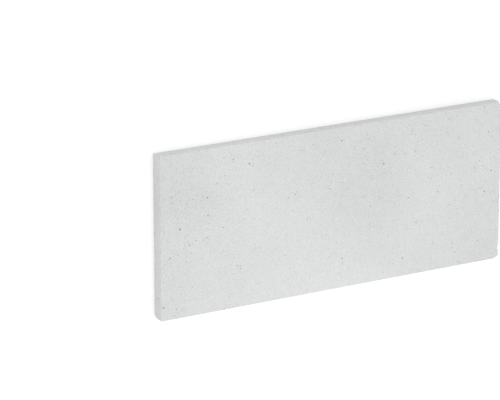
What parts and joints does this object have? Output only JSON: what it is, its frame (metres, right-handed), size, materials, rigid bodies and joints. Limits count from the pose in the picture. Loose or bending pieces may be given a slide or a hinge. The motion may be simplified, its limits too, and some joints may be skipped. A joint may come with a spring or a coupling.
{
  "type": "mineral insulation board",
  "caption": "Flat rectangular sawn board of white aerated mineral foam, bonded to a wall, ceiling or window reveal as thermal insulation.",
  "frame": {"origin": "middle of the back face, which lies on the floor", "axes": "+X along the board's length, +Y along its width, +Z out of its front face, through its thickness"},
  "size_m": [0.6, 0.25, 0.02],
  "materials": {
    "mineral_foam": "matte"
  },
  "bodies": {
    "root": {"insulation_board": "mineral_foam"}
  },
  "joints": []
}
